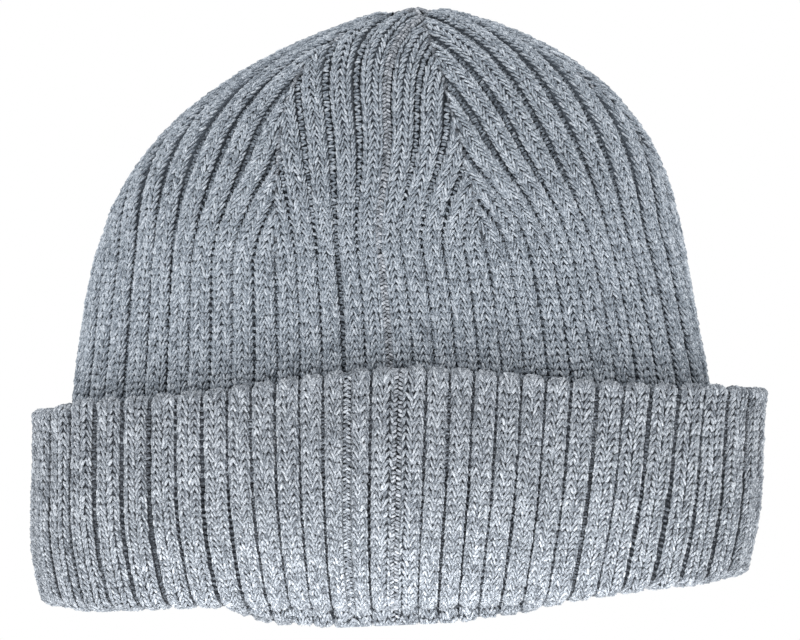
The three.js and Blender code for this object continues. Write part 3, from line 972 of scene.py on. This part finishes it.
def make_gores():
    edges = [-CENTRE_GORE_RIBS / 2]
    for count in (CENTRE_GORE_RIBS, SIDE_GORE_RIBS, SIDE_GORE_RIBS) * 2:
        edges.append(edges[-1] + count)
    names = ["back", "back_right", "front_right", "front", "front_left", "back_left"]
    gores = {}
    for name, first, last in zip(names, edges[:-1], edges[1:]):
        if name == "back":
            gores[name] = Gore(first, last, SEAM_SKEW, 1.1)
        else:
            gores[name] = Gore(first, last, 0.0, 0.65)
    return gores


def build_gores(gores, material):
    stands_for = {
        "back": ["gore_back_left_half", "gore_back_right_half"],
        "back_right": ["gore_back_right"],
        "front_right": ["gore_front_right"],
        "front": ["gore_front_centre"],
        "front_left": ["gore_front_left"],
        "back_left": ["gore_back_left"],
    }
    for name, gore in gores.items():
        builder = Builder()
        parts = np.linspace(-1, 1, int((gore.last - gore.first) * SHELL_STEPS) + 1)
        levels = GORE_START + (HOLE_HEIGHT - GORE_START) * np.sin(np.linspace(0, math.pi / 2, GORE_ROWS))
        part, level = np.meshgrid(parts, levels)
        climb = np.interp(level, gore.heights, gore.climbs)
        across = part * gore.half_width(level) / np.interp(climb, gore.climbs, gore.stretch)
        up = climb + across * np.interp(climb, gore.climbs, gore.slope)
        ribs = gore.ribs_at(across, up)
        edge = (1 - np.abs(part)) * gore.half_width(level)
        inner = back_relief(ribs)
        outer = rib_relief(gore, ribs, up) - EDGE_SINK * (1 - smooth_step(0, EDGE_REACH, edge))
        outer = np.maximum(outer, inner + MIN_SHELL)
        add_shell(builder, gore.patch, part, level, outer, inner, shell_painted_shade(gore, ribs, up), SHELL_TILE)
        numbers = np.arange(math.floor(gore.first) - 1, math.ceil(gore.last) + 1)
        ups = (np.arange(*GORE_COURSES) + 0.5) * COURSE
        add_legs(builder, gore, numbers, ups)
        add_purls(builder, gore, numbers, ups)
        make_piece(f"knit_gore_{name}", builder, material, "crown", stands_for[name])


def build_seams(gores, material):
    builder = Builder()
    add_seam_column(builder, cuff, 0, 0.5, CUFF_SEAM_END)
    make_piece("cuff_seam_loops", builder, material, "cuff", ["cuff_seam"])
    builder = Builder()
    add_seam_column(builder, body, 0, 0.5, body.length)
    make_piece("body_seam_loops", builder, material, "crown", ["body_seam"])
    builder = Builder()
    add_seam_column(builder, gores["back"], 0, 0.0, gores["back"].length - 2)
    make_piece("crown_seam_loops", builder, material, "crown", ["crown_seam"])


def build_darts(gores, material):
    """A line of loops in the crease where two gores are shaped together."""
    darts = {
        "dart_back_right": gores["back"],
        "dart_side_right": gores["back_right"],
        "dart_front_right": gores["front_right"],
        "dart_front_left": gores["front"],
        "dart_side_left": gores["front_left"],
        "dart_back_left": gores["back_left"],
    }
    for name, gore in darts.items():
        share = gore.share + gore.span / 2
        up = course_line(0.5, gore.length - 1.0)
        level = np.interp(up, gore.climbs, gore.heights)
        point = crown_point(share, level)
        above = crown_point(share, np.minimum(level + 0.2, TIP_HEIGHT))
        rise = unit(above - crown_point(share, level - 0.2))
        along = crown_point(share + NEARBY, level) - crown_point(share - NEARBY, level)
        out = unit(np.cross(along, rise))
        across = unit(np.cross(rise, out))
        count = len(up)
        frame = sink((point, across, rise, out), rng.normal(DART_DEPTH, 0.1, count))
        size = np.tile(DART_LOOP, (count, 1))
        slant = rng.normal(0, 0.5, count)
        flat = np.zeros(count)
        tone = rng.normal(0.4, 0.15, count)
        builder = Builder()
        add_grains(builder, frame, slant, flat, size, flat, tone, LEG_TILE)
        make_piece(f"{name}_loops", builder, material, "crown", [name])


def add_plug(builder, centre, height):
    """A thin round of fabric that closes the hole under the last loops."""
    half_width = crown_half_width(HOLE_HEIGHT) - PLUG_MARGIN
    half_depth = half_width * crown_depth_share(HOLE_HEIGHT)

    def place(across, along):
        squeeze = np.sqrt(1 - across**2 / 2), np.sqrt(1 - along**2 / 2)
        x = centre[0] + half_width * across * squeeze[1]
        y = centre[1] + half_depth * along * squeeze[0]
        return np.stack([x, y, np.full(np.shape(x), height)], axis=-1)

    line = np.linspace(-1, 1, PLUG_STEPS + 1)
    across, along = np.meshgrid(line, line)
    flat = np.zeros(across.shape)
    # Painted shade: the plug is painted as dark as the shell under the ribs, as the shade in the hole.
    tone = flat + UNDER_RIB_PAINTED_SHADE
    add_shell(builder, place, across, along, flat, flat - PLUG_THICKNESS, tone, PLUG_TILE)


def build_knot(material):
    """The last loops, drawn up at the tip."""
    low, high = (np.array(corner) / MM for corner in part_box("closing_knot"))
    centre = (low + high) / 2
    builder = Builder()
    add_plug(builder, centre, high[2] - PLUG_DROP)
    for ring, count, reach, drop in KNOT_RINGS:
        turn = np.arange(count) * TURN / count + rng.normal(0, 0.1, count) + ring
        place = np.stack([
            centre[0] + (high[0] - low[0]) * reach * np.sin(turn),
            centre[1] - (high[1] - low[1]) * reach * np.cos(turn),
            np.full(count, high[2] - drop) + rng.normal(0, 0.15, count),
        ], axis=1)
        inward = unit(np.stack([-np.sin(turn), np.cos(turn), np.full(count, 0.35)], axis=1))
        out = unit(np.stack([np.sin(turn) * 0.3, -np.cos(turn) * 0.3, np.ones(count)], axis=1))
        across = unit(np.cross(inward, out))
        size = np.tile(KNOT_LOOP, (count, 1))
        flat = np.zeros(count)
        slant = rng.normal(0, 0.25, count)
        tone = rng.normal(0.5, 0.15, count)
        tile = ((ring / 3, 0.0), ((ring + 0.95) / 3, KNOT_TILE_TOP))
        add_grains(builder, (place, across, inward, out), slant, flat, size, flat, tone, tile)
    make_piece("closing_knot_loops", builder, material, "crown", ["closing_knot"])


knit = knit_material(
    "knit",
    dark=(0.052, 0.063, 0.078),
    middle=(0.245, 0.286, 0.335),
    light=(0.67, 0.72, 0.78),
)
# The cuff's yarn is the crown's yarn painted darker, with deeper darks: painted shade.
turned_knit = knit_material(
    "turned_knit",
    dark=(0.036, 0.042, 0.052),
    middle=(0.188, 0.213, 0.246),
    light=(0.63, 0.67, 0.72),
)
seam_yarn = knit_material(
    "seam_yarn",
    dark=(0.05, 0.058, 0.07),
    middle=(0.24, 0.265, 0.30),
    light=(0.60, 0.63, 0.68),
)

build_cuff(turned_knit)
build_body(knit)
crown_gores = make_gores()
build_gores(crown_gores, knit)
build_seams(crown_gores, seam_yarn)
build_darts(crown_gores, seam_yarn)
build_knot(seam_yarn)

# ---------------------------------------------------------------- stage, light and camera


def build_stage():
    """A plain white floor that glows like a light table, so no shadow falls on it."""
    mesh = bpy.data.meshes.new("floor")
    reach = 12.0
    mesh.from_pydata([(-reach, -reach, 0), (reach, -reach, 0), (reach, reach, 0), (-reach, reach, 0)],
                     [], [(0, 1, 2, 3)])
    floor = bpy.data.objects.new("floor", mesh)
    bpy.context.scene.collection.objects.link(floor)
    material = bpy.data.materials.new("floor_white")
    material.use_nodes = True
    nodes, links = material.node_tree.nodes, material.node_tree.links
    shader = nodes["Principled BSDF"]
    shader.inputs["Base Color"].default_value = (0.0, 0.0, 0.0, 1)
    shader.inputs["Specular IOR Level"].default_value = 0.0
    shader.inputs["Emission Color"].default_value = (1.0, 1.0, 1.0, 1)
    path = nodes.new("ShaderNodeLightPath")
    glow = nodes.new("ShaderNodeMix")
    glow.inputs["A"].default_value = 2.0
    glow.inputs["B"].default_value = 1.0
    links.new(path.outputs["Is Camera Ray"], glow.inputs["Factor"])
    links.new(glow.outputs["Result"], shader.inputs["Emission Strength"])
    floor.data.materials.append(material)


def build_world():
    """White all round, and dimmer on the side that the camera and its room are on."""
    world = bpy.data.worlds.new("studio")
    world.use_nodes = True
    nodes, links = world.node_tree.nodes, world.node_tree.links
    background = nodes["Background"]
    background.inputs["Color"].default_value = (1.0, 1.0, 1.0, 1)
    place = nodes.new("ShaderNodeTexCoord")
    split = nodes.new("ShaderNodeSeparateXYZ")
    links.new(place.outputs["Generated"], split.inputs[0])
    shade = nodes.new("ShaderNodeMapRange")
    shade.inputs["From Min"].default_value = -1.0
    shade.inputs["From Max"].default_value = 1.0
    shade.inputs["To Min"].default_value = 0.36
    shade.inputs["To Max"].default_value = 2.3
    links.new(split.outputs["Y"], shade.inputs["Value"])
    path = nodes.new("ShaderNodeLightPath")
    seen = nodes.new("ShaderNodeMix")
    seen.inputs["B"].default_value = 1.0
    links.new(path.outputs["Is Camera Ray"], seen.inputs["Factor"])
    links.new(shade.outputs["Result"], seen.inputs["A"])
    links.new(seen.outputs["Result"], background.inputs["Strength"])
    bpy.context.scene.world = world


def add_softbox(name, place, aim, width, height, power):
    data = bpy.data.lights.new(name, "AREA")
    data.shape = "RECTANGLE"
    data.size = width
    data.size_y = height
    data.energy = power
    light = bpy.data.objects.new(name, data)
    light.location = place
    light.rotation_euler = (Vector(aim) - Vector(place)).to_track_quat("-Z", "Y").to_euler()
    light.visible_camera = False
    bpy.context.scene.collection.objects.link(light)


def build_camera():
    """Level with the hat, far off so that there is hardly any perspective, and rolled a little."""
    distance = 5.0
    view_width = 0.25
    aim = (0.002, 0.0, 0.0945)
    tilt = math.radians(2.5)
    data = bpy.data.cameras.new("camera")
    data.sensor_width = 36.0
    data.lens = data.sensor_width * distance / view_width
    data.clip_end = 100
    camera = bpy.data.objects.new("camera", data)
    right = (math.cos(tilt), 0, -math.sin(tilt))
    top = (math.sin(tilt), 0, math.cos(tilt))
    camera.matrix_world = Matrix((
        (right[0], top[0], 0, aim[0]),
        (right[1], top[1], -1, aim[1] - distance),
        (right[2], top[2], 0, aim[2]),
        (0, 0, 0, 1),
    ))
    bpy.context.scene.collection.objects.link(camera)
    bpy.context.scene.camera = camera


build_stage()
build_world()
add_softbox("key", (-0.6, -1.0, 1.4), (0, 0, 0.1), 0.8, 0.8, 10)
add_softbox("low_strip", (0, -0.09, 0.005), (0, -0.05, 0.003), 0.28, 0.008, 0.10)
build_camera()

view = bpy.context.scene.view_settings
view.view_transform = "Standard"
view.look = "None"
